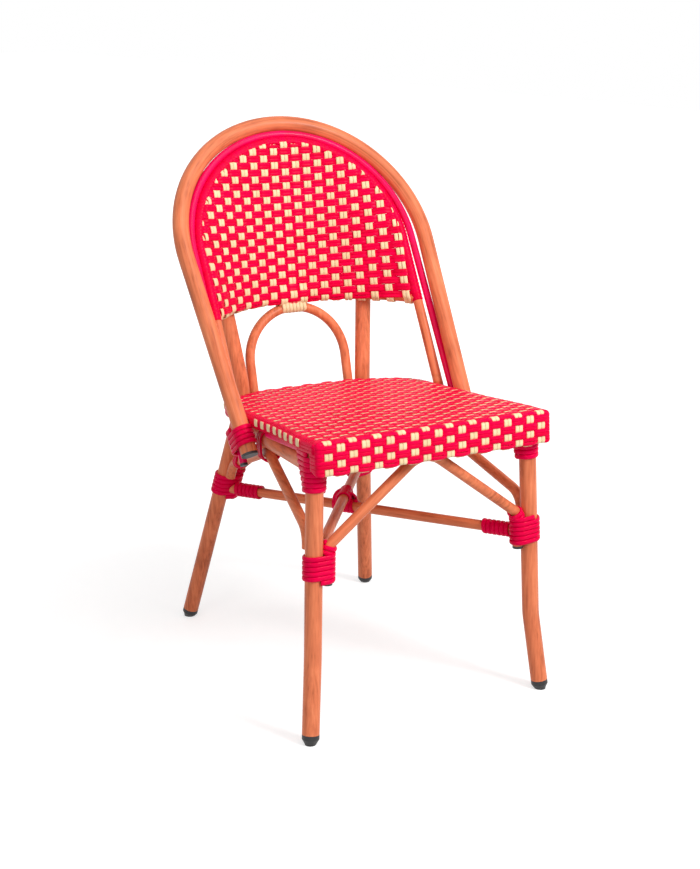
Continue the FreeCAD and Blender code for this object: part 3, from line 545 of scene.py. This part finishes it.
def seat_profile(rear):
    """The skin's section in the (along, up) plane: lengths along it, places and outward normals."""
    d = WEAVE_INSET
    low, back = -APRON_HEIGHT + d, rear - d
    runs = [quarter((d + ROLL, low + ROLL), 270, 180), quarter((d + ROLL, -d - ROLL), 180, 90),
            quarter((back - ROLL, -d - ROLL), 90, 0)]
    places = np.concatenate([[[APRON_THICKNESS, low]], *[r[0] for r in runs],
                             [[back, -SEAT_THICKNESS + SKIN_END]]])
    normals = np.concatenate([[[0, -1]], *[r[1] for r in runs], [[1, 0]]])
    length = np.concatenate([[0], np.cumsum(np.linalg.norm(np.diff(places, axis=0), axis=1))])
    return length, places, normals


def at_length(profile, s):
    """Places and normals at given lengths along a section."""
    length, places, normals = profile
    pos = np.stack([np.interp(s, length, places[:, k]) for k in (0, 1)], axis=-1)
    nor = np.stack([np.interp(s, length, normals[:, k]) for k in (0, 1)], axis=-1)
    return pos, unit(nor)


def to_seat(x, pos, nor):
    """Places and normals of a section, put at x in the part's frame."""
    x = np.broadcast_to(x, pos[..., 0].shape)
    return on_seat(x, pos[..., 0], pos[..., 1]), nor[..., :1] * ALONG + nor[..., 1:] * UP


def seat_warps():
    """Pale pairs from under the apron to the rear edge."""
    warps = Strands()
    for w in range(WARPS):
        profile = seat_profile(seat_rear((w - MIDDLE_WARP) * seat_pitch(SEAT_DEPTH)))
        end = profile[0][-1]
        s = np.arange(0, end, STRAND_STEP)
        pos, nor = at_length(profile, s)
        x = (w - MIDDLE_WARP) * seat_pitch(pos[:, 0])
        wave = over_under((s - FIRST_ROW) / SEAT_ROW + w)
        lift = STRAND_RISE * wave * smooth((end - s) / WARP_FADE)
        lift -= SEAT_WEFT_PROUD
        for shift in (-1, 1):
            path, out = to_seat(x + shift * (WARP_HALF[0] + WARP_GAP), pos, nor)
            warps.add(path + out * lift[:, None], out, WARP_HALF)
    warps.build("seat_warps", PALE, "woven_cane", "seat_weave")


def turn_down(at, half, up, sign):
    """A weft's end: a turn over the seat's side and a tail below it, with outward normals."""
    tuck = APRON_TUCK if at[1] < -ROLL else SEAT_TUCK
    hub = on_seat(sign * (half - ROLL), at[0], at[1]) - up * ROLL
    turn_out = np.sin(EDGE_TURN)[:, None] * sign * SIDE + np.cos(EDGE_TURN)[:, None] * up
    turn = hub + ROLL * turn_out
    tail = turn[-1] - up * np.linspace(tuck / TUCK_STEPS, tuck, TUCK_STEPS)[:, None]
    tail_out = np.repeat(turn_out[-1:], TUCK_STEPS, 0)
    return np.concatenate([turn, tail]), np.concatenate([turn_out, tail_out])


def seat_wefts():
    """Red pairs from side to side, in two pieces of about as many rows."""
    front, rear = Strands(), Strands()
    profile = seat_profile(SEAT_DEPTH)
    rows = np.arange(FIRST_ROW, profile[0][-1] - LAST_ROW_ROOM, SEAT_ROW)
    for r, middle_s in enumerate(rows):
        wefts = front if r < len(rows) / 2 else rear
        for shift in (-1, 1):
            s = middle_s + shift * (WEFT_HALF[0] - WEFT_LAP)
            pos, nor = at_length(profile, np.array([s]))
            half = float(seat_half(max(pos[0, 0], 0.0))) - WEAVE_INSET
            x = np.arange(-half + ROLL, half - ROLL + 1, SEAT_WEFT_STEP)
            wave = over_under(x / seat_pitch(pos[0, 0]) + MIDDLE_WARP + r)
            lift = -STRAND_RISE * wave * smooth((half - ROLL - np.abs(x)) / WEFT_FADE)
            lift += SEAT_WEFT_PROUD
            line, out = to_seat(x, np.repeat(pos, len(x), 0), np.repeat(nor, len(x), 0))
            left, left_out = turn_down(pos[0], half, out[0], -1)
            right, right_out = turn_down(pos[0], half, out[0], 1)
            path = np.concatenate([left[::-1], line + out * lift[:, None], right])
            wefts.add(path, np.concatenate([left_out[::-1], out, right_out]), WEFT_HALF)
    front.build("seat_wefts_front", RED, "woven_cane", "seat_weave")
    rear.build("seat_wefts_rear", RED, "woven_cane", "seat_weave")


def seat_outline(inset):
    """The seat's edge from the left front, round the rear, to the right front, with outward normals."""
    t = np.concatenate([np.arange(FRONT_CORNER, FINE_FROM, OUTLINE_STEP),
                        np.linspace(FINE_FROM, SEAT_DEPTH, FINE_STEPS)[:-1]])
    right = np.stack([seat_half(t), t], axis=1)
    points = np.concatenate([right * (-1, 1), [[0, SEAT_DEPTH]], right[::-1]])
    run = unit(np.gradient(points, axis=0))
    out = np.stack([-run[:, 1], run[:, 0]], axis=1)
    return points - out * inset, out


def seat_rim():
    """Red strands round the seat's edge and the pale bars of its sides."""
    rim, bars = Strands(), Strands()
    for level, tilt, inset in RIM_ROWS:
        points, out = seat_outline(inset)
        path = on_seat(points[:, 0], points[:, 1], np.full(len(points), level))
        rim.add(path, unit(out[:, :1] * SIDE + out[:, 1:] * ALONG + tilt * UP), RIM_HALF)
    n = np.linspace(BAR_TOP, BAR_BOTTOM, BAR_STEPS)
    bulge = BAR_STAND + BAR_BULGE * np.sin(np.linspace(0, np.pi, BAR_STEPS))
    for sign in (-1, 1):
        for b in range(BARS):
            for shift in (-BAR_APART, BAR_APART):
                t = BAR_FIRST + b * BAR_PITCH + shift
                path = on_seat(sign * (float(seat_half(t)) + bulge), np.full(BAR_STEPS, t), n)
                bars.add(path, np.tile(sign * SIDE, (BAR_STEPS, 1)), BAR_HALF)
    rim.build("seat_rim", RED, "woven_cane", "seat_weave")
    bars.build("seat_side_bars", PALE, "woven_cane", "seat_weave")


def slab(name, ring, top, bottom):
    """A closed plate under the woven skin, with its rows of strands as bump."""
    n = len(ring)
    verts = np.concatenate([on_seat(ring[:, 0], ring[:, 1], np.full(n, level))
                            for level in (top, bottom)])
    piece = make_piece(name, verts, tube_faces(2, n), UNDER, ("seat_weave",))
    piece.data.polygons.foreach_set("use_smooth", np.zeros(len(piece.data.polygons), dtype=bool))


def seat_cores():
    """Plates inside the seat and the apron."""
    points, _ = seat_outline(CORE_INSET)
    front = np.array([[SEAT_HALF_WIDTH - CORE_INSET, CORE_INSET],
                      [-SEAT_HALF_WIDTH + CORE_INSET, CORE_INSET]])
    slab("seat_core", np.concatenate([points, front]), -CORE_INSET, -SEAT_THICKNESS + CORE_CLEAR)
    back = APRON_THICKNESS - CORE_CLEAR
    ring = np.array([[-APRON_CORE_HALF, APRON_CORE_FRONT], [-APRON_CORE_HALF, back],
                     [APRON_CORE_HALF, back], [APRON_CORE_HALF, APRON_CORE_FRONT]])
    slab("apron_core", ring, APRON_CORE_TOP, -APRON_HEIGHT + CORE_INSET)


# Back panel: a bowed skin between the hoop and the crossbar

def crossbar_y(x):
    """The bowed crossbar's place along y at a given x."""
    return CROSSBAR_CENTRE_Y + np.sqrt(CROSSBAR_RADIUS ** 2 - np.asarray(x, dtype=float) ** 2)


def panel_top(x):
    """Where the panel's hoop crosses a given x: its place along y and z."""
    rise = np.sqrt(np.maximum(PANEL_RADIUS ** 2 - np.asarray(x, dtype=float) ** 2, 0))
    return PANEL_CENTRE[1] + rise * PANEL_UP[1], PANEL_CENTRE[2] + rise * PANEL_UP[2]


def ahead(x):
    """The level direction that faces forward from the bowed crossbar."""
    x = np.asarray(x, dtype=float)
    away = np.stack([-x, -(crossbar_y(x) - CROSSBAR_CENTRE_Y), np.zeros_like(x)], axis=-1)
    return away / CROSSBAR_RADIUS


def skin_level(x, v):
    """How far back the panel's frame lies, ruled from crossbar to hoop, and the share of that way."""
    top_y, top_z = panel_top(x)
    k = (v - CROSSBAR_Z) / np.maximum(top_z - CROSSBAR_Z, 1.0)
    return crossbar_y(x) + k * (top_y - crossbar_y(x)), np.clip(k, 0, 1)


def on_back(x, v):
    """A place on the panel's skin, which passes in front of its frame and on round the crossbar."""
    x, v = np.broadcast_arrays(np.asarray(x, dtype=float), np.asarray(v, dtype=float))
    high = np.maximum(v, CROSSBAR_Z)
    y, k = skin_level(x, high)
    turn = np.minimum(v - CROSSBAR_Z, 0) / BACK_AHEAD
    forward = unit((1 - k)[..., None] * ahead(x) + k[..., None] * PANEL_FRONT)
    out = np.cos(turn)[..., None] * forward + np.sin(turn)[..., None] * np.array([0, 0, 1.0])
    rise = np.maximum((high - PANEL_CENTRE[2]) / PANEL_UP[2], 0)
    from_hoop = PANEL_RADIUS - np.hypot(x, rise)
    off = BACK_AHEAD - TUCK * smooth((TUCK_FROM - from_hoop) / TUCK_RUN)
    beside = smooth((BULGE_HALF - np.abs(x)) / BULGE_FADE)
    above = smooth((CROSSBAR_Z + BULGE_HEIGHT - v) / BULGE_FADE)
    off = off + ARCH_BULGE * beside * above
    return np.stack([x, y, high], axis=-1) + off[..., None] * out, out


def skin_normal(x, v, out):
    """The skin's own normal above the crossbar; round the crossbar the way out from it."""
    right = np.clip(x + 1, -PANEL_RADIUS, PANEL_RADIUS)
    left = np.clip(x - 1, -PANEL_RADIUS, PANEL_RADIUS)
    step_x = on_back(right, v)[0] - on_back(left, v)[0]
    step_v = on_back(x, v + 1)[0] - on_back(x, v - 1)[0]
    normal = unit(np.cross(step_x, step_v))
    return np.where((v < CROSSBAR_Z)[..., None], out, normal)


def row_height(r, x):
    """Height of a weft row, which rises a little towards the sides."""
    return CROSSBAR_Z + FIRST_BACK_ROW + r * BACK_ROW + ROW_LIFT * (np.asarray(x) / PANEL_RADIUS) ** 2


def back_weave():
    """Pale pairs from the hoop down round the crossbar, and red pairs from side to side."""
    warps, wefts = Strands(), Strands()
    for w in range(WARPS):
        x0 = (w - MIDDLE_WARP) * WARP_PITCH
        v = np.arange(float(panel_top(x0)[1]), CROSSBAR_Z - BACK_AHEAD * WARP_ROUND_BAR, -STRAND_STEP)
        near = np.stack([on_back(x0 + d, v)[0] for d in (-0.5, 0.5)])
        squeeze = 1 / np.linalg.norm(near[1] - near[0], axis=1)
        for shift in (-1, 1):
            x = x0 + shift * (WARP_HALF[0] + WARP_GAP) * squeeze
            x = np.clip(x, -PANEL_RADIUS + BACK_EDGE_ROOM, PANEL_RADIUS - BACK_EDGE_ROOM)
            path, out = on_back(x, v)
            out = skin_normal(x, v, out)
            lift = STRAND_RISE * over_under((v - row_height(0, x0)) / BACK_ROW + w)
            lift *= smooth((v - CROSSBAR_Z + WARP_CALM_FROM) / WARP_CALM_RUN)
            warps.add(path + out * lift[:, None], out, WARP_HALF)
    top = float(panel_top(0.0)[1])
    r = 0
    while row_height(r, 0) < top - BACK_TOP_ROOM:
        for shift in (-1, 1):
            x = np.arange(-PANEL_RADIUS, PANEL_RADIUS + 1, STRAND_STEP)
            v = row_height(r, x) + shift * BACK_ROW * BACK_WEFT_SHIFT
            inside = v < panel_top(x)[1]
            x, v = x[inside], v[inside]
            if len(x) > SHORTEST_WEFT:
                path, out = on_back(x, v)
                across = on_back(x, v + BACK_ROW / 2)[0] - on_back(x, v - BACK_ROW / 2)[0]
                wide = np.linalg.norm(across, axis=1) * BACK_WEFT_HALF
                out = skin_normal(x, v, out)
                lift = -STRAND_RISE * over_under(x / WARP_PITCH + MIDDLE_WARP + r)
                wefts.add(path + out * lift[:, None], out, (wide, WEFT_HALF[1]))
        r += 1
    warps.build("back_warps", PALE, "woven_cane", "back_weave")
    wefts.build("back_wefts", RED, "woven_cane", "back_weave")


def panel_wrap():
    """Red strands wound side by side round the panel's hoop, from crossbar to crossbar."""
    leg = np.arange(CROSSBAR_Z - WRAP_BELOW, PANEL_CENTRE[2], WRAP_STEP)
    rise = (leg - PANEL_CENTRE[2]) / PANEL_UP[2]
    side = np.stack([np.full(len(leg), PANEL_RADIUS), PANEL_CENTRE[1] + rise * PANEL_UP[1], leg], axis=1)
    a = np.arange(0, math.pi, WRAP_STEP / PANEL_RADIUS)
    arc = PANEL_CENTRE + PANEL_RADIUS * (np.cos(a)[:, None] * SIDE + np.sin(a)[:, None] * PANEL_UP)
    path = np.concatenate([side, arc, side[::-1] * (-1, 1, 1)])
    inward = np.cross(unit(np.gradient(path, axis=0)), PANEL_FRONT)
    n = len(path)
    length = np.arange(n) * WRAP_STEP
    radius = THIN_R + WRAP_SLACK + WRAP_SWELL * np.sqrt(np.abs(np.sin(np.pi * length / WRAP_PITCH)))
    turn = 2 * np.pi * np.arange(WRAP_SIDES) / WRAP_SIDES
    out = np.cos(turn)[None, :, None] * PANEL_FRONT + np.sin(turn)[None, :, None] * inward[:, None, :]
    ring = path[:, None, :] + radius[:, None, None] * out
    uv = np.stack([np.broadcast_to(turn * THIN_R * MM, (n, WRAP_SIDES)),
                   np.broadcast_to(length[:, None] * MM, (n, WRAP_SIDES))], -1)
    tones = np.random.default_rng(3).random(n // 5 + 2)
    vary = np.repeat(tones[(length / WRAP_PITCH).astype(int)], WRAP_SIDES)
    make_piece("panel_hoop_wrap", ring.reshape(-1, 3), tube_faces(n, WRAP_SIDES), RED, (),
               uv.reshape(-1, 2), vary)


def panel_feet():
    """Lower ends of the panel hoop's legs, where they pass into the edge of the seat."""
    n = FOOT_SIDES
    turn = 2 * np.pi * np.arange(n) / n
    ring = THIN_R * (np.cos(turn)[:, None] * SIDE + np.sin(turn)[:, None] * PANEL_FRONT)
    faces = [[k, n + k, n + (k + 1) % n, (k + 1) % n] for k in range(n)]
    faces += [list(range(n)), list(range(2 * n - 1, n - 1, -1))]
    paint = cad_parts["panel_hoop"].data.materials[0]
    for side, name in ((-1, "panel_foot_left"), (1, "panel_foot_right")):
        top = np.array([side * PANEL_RADIUS, PANEL_CENTRE[1], PANEL_CENTRE[2]]) - PANEL_UP * PANEL_LEG
        verts = np.concatenate([top + ring, top - PANEL_UP * FOOT_LENGTH + ring])
        make_piece(name, verts, faces, paint)


# Bindings: cane wound round one tube or round two that lie side by side

def wind(strands, centre, axis, across=(0.3, 0.8, 0.2), inside=MAIN_R, reach=0.0, turns=5.0, flare=0.0,
         pitch=CANE_PITCH, half=CANE_HALF, narrow=1.0):
    """Winds a strand round a tube at centre and a second one that stands off to the side of it.

    The reach starts at the share narrow of its full size and grows along the winding.
    """
    centre, axis = np.asarray(centre, dtype=float), unit(axis)
    across = np.asarray(across, dtype=float)
    across = unit(across - axis * np.dot(across, axis))
    third = np.cross(axis, across)
    radius = inside + BIND_SLACK + half[1]
    a = np.linspace(-np.pi / 2, np.pi / 2, BOW_STEPS)
    bow = np.stack([np.cos(a), np.sin(a)], axis=1)
    out = np.concatenate([bow, -bow])
    hub = np.concatenate([np.tile([reach, 0.0], (BOW_STEPS, 1)), np.zeros((BOW_STEPS, 2))])
    if reach > LEVEL_FROM:
        run = np.linspace(0, 1, int(reach / LEVEL_STEP))[1:-1, None] * [reach, 0.0]
        level = np.tile([0.0, -1.0], (len(run), 1))
        out = np.concatenate([level, bow, -level, -bow])
        hub = np.concatenate([run, hub[:BOW_STEPS], run[::-1], hub[BOW_STEPS:]])
    count = int(len(out) * turns)
    index = np.arange(count) % len(out)
    share = np.arange(count) / max(count - 1, 1)
    out, hub = out[index], hub[index] * (narrow + (1 - narrow) * smooth(share))[:, None]
    flat = hub + out * (radius + flare * smooth(share))[:, None]
    along = ((share - 0.5) * turns * pitch)[:, None] * axis
    path = centre + flat[:, :1] * across + flat[:, 1:] * third + along
    strands.add(path, out[:, :1] * across + out[:, 1:] * third, half)


def mirror(v, sign):
    """A right-hand place or direction, on the side that the sign gives."""
    return np.asarray(v, dtype=float) * (sign, 1, 1)


def bindings():
    """The red bindings, each group in place of its CAD node, and the pale one of the arch."""
    names = ("front_joint_bindings", "rear_joint_bindings", "leg_top_bindings", "stretcher_bindings",
             "hoop_bindings", "rail_bindings", "brace_bindings")
    groups = {name: Strands(CANE_SQUARENESS) for name in names}
    stretchers = groups["stretcher_bindings"]
    joints = (("front_joint_bindings", FRONT_JOINT, FRONT_BEND, FRONT_APEX),
              ("rear_joint_bindings", REAR_JOINT, REAR_BEND, REAR_APEX))
    for sign in (-1, 1):
        for name, joint, bend, apex in joints:
            centre, axis, inward = (mirror(v, sign) for v in joint)
            wind(groups[name], centre, axis, inward, reach=JOINT_REACH, turns=5.6, pitch=7.3)
            start, top = mirror(bend, sign), mirror(apex, sign)
            arm = unit(top - start)
            wind(groups[name], start + arm - ARM_DROP * axis, arm + axis, inside=THIN_R, turns=2.6)
        centre, axis, run = (mirror(v, sign) for v in (LEG_TOP, FRONT_JOINT[1], RAIL_RUN))
        wind(groups["leg_top_bindings"], centre, axis, run, reach=LEG_TOP_REACH, turns=7.7, flare=1.5,
             narrow=0.15)
        centre, axis, across = (mirror(v, sign) for v in HOOP_BINDING)
        wind(groups["hoop_bindings"], centre + HOOP_BINDING_RISE * axis, axis, across, reach=HOOP_REACH,
             turns=4.6)
        wind(groups["rail_bindings"], mirror(RAIL_OVER, sign), mirror(RAIL_RUN, sign), (0, 0, -1),
             reach=RAIL_REACH, turns=3)
        start, top = mirror(SIDE_BEND, sign), mirror(SIDE_APEX, sign)
        arm = unit(top - start)
        wind(groups["brace_bindings"], start + arm * SIDE_WRAP_OUT, arm, inside=THIN_R, turns=2.6)
        lift = np.array([0, 0, -sign * STRETCHER_LIFT])
        start, end = mirror(FRONT_JOINT[0], sign) + lift, mirror(REAR_JOINT[0], -sign) + lift
        run = unit(end - start)
        for centre in (start + run * STRETCHER_OUT, end - run * STRETCHER_OUT):
            wind(stretchers, centre, run, inside=THIN_R, turns=6.3)
        wind(stretchers, CROSSING + lift, run, inside=THIN_R, turns=5.5)
    wind(stretchers, CROSSING, (0, 1, 0), (0, 0, 1), inside=CROSSING_INSIDE, turns=3.5)
    for name, strands in groups.items():
        strands.build(name + "_cane", BIND, "binding_cane", name)
    pale = Strands(CANE_SQUARENESS)
    wind(pale, ARCH_TOP, (1, 0, 0), ARCH_UP, inside=THIN_R, reach=ARCH_REACH, turns=7, pitch=6.3,
         half=WARP_HALF)
    pale.build("arch_binding_cane", PALE, "pale_cane", "arch_binding")


# Studio: a pale floor, soft lamps, a white surround and the camera, in metres

def lay_floor():
    """A floor that takes the shadow and turns white for the camera, without lighting the chair."""
    nodes = Nodes("floor")
    speck = nodes.noise(nodes.place(), scale=40.0)
    away = nodes.math("DIVIDE", nodes.vector("LENGTH", nodes.place(), out=1), 2.5)
    glow = nodes.math("MULTIPLY", nodes.seen(), nodes.spread(away, 0.58, 1.0))
    colour = nodes.ramp(speck, (0.3, (0.6, 0.6, 0.6)), (0.7, (0.64, 0.64, 0.64)))
    material = nodes.shade(Base_Color=colour, Roughness=nodes.spread(speck, 0.6, 0.7),
                           Specular_IOR_Level=0.1, Emission_Color=(1, 1, 1, 1), Emission_Strength=glow)
    mesh = bpy.data.meshes.new("floor")
    mesh.from_pydata([(-9, -6, 0), (9, -6, 0), (9, 30, 0), (-9, 30, 0)], [], [(0, 1, 2, 3)])
    mesh.materials.append(material)
    floor = show("floor", mesh)


def hang_lamp(name, at, to, size, watts):
    """A round lamp that faces a place."""
    light = bpy.data.lights.new(name, "AREA")
    light.energy = watts
    light.shape = "DISK"
    light.size = size
    lamp = show(name, light)
    lamp.location = at
    lamp.rotation_euler = (Vector(to) - Vector(at)).to_track_quat("-Z", "Y").to_euler()


def surround():
    """A world that is white to the camera and gives the chair a lower, even light."""
    world = bpy.data.worlds.new("surround")
    bpy.context.scene.world = world
    nodes = Nodes(world=world)
    nodes.shade(Color=(1, 1, 1, 1), Strength=nodes.spread(nodes.seen(), 0.35, 1.0))


def set_camera():
    """The photograph's view."""
    camera = bpy.data.cameras.new("camera")
    camera.sensor_fit = "HORIZONTAL"
    camera.sensor_width = CAMERA_SENSOR
    camera.lens = CAMERA_LENS
    back = Vector(CAMERA_BACK).normalized()
    right = Vector(CAMERA_RIGHT).normalized()
    turn = Matrix((right, back.cross(right), back)).transposed()
    eye = show("camera", camera)
    eye.matrix_world = Matrix.Translation(CAMERA_AT) @ turn.to_4x4()
    bpy.context.scene.camera = eye


dress()
seat_warps()
seat_wefts()
seat_rim()
seat_cores()
back_weave()
panel_wrap()
panel_feet()
bindings()

lay_floor()
hang_lamp("key", at=(1.1, -2.4, 2.2), to=(0, 0, 0.45), size=0.9, watts=64)
hang_lamp("fill", at=(-2.4, -1.5, 1.6), to=(0, 0, 0.45), size=1.6, watts=14)
hang_lamp("top", at=(0.2, -0.7, 2.6), to=(0, 0, 0.4), size=1.4, watts=15)
surround()
bpy.context.scene.view_settings.view_transform = "Standard"
set_camera()
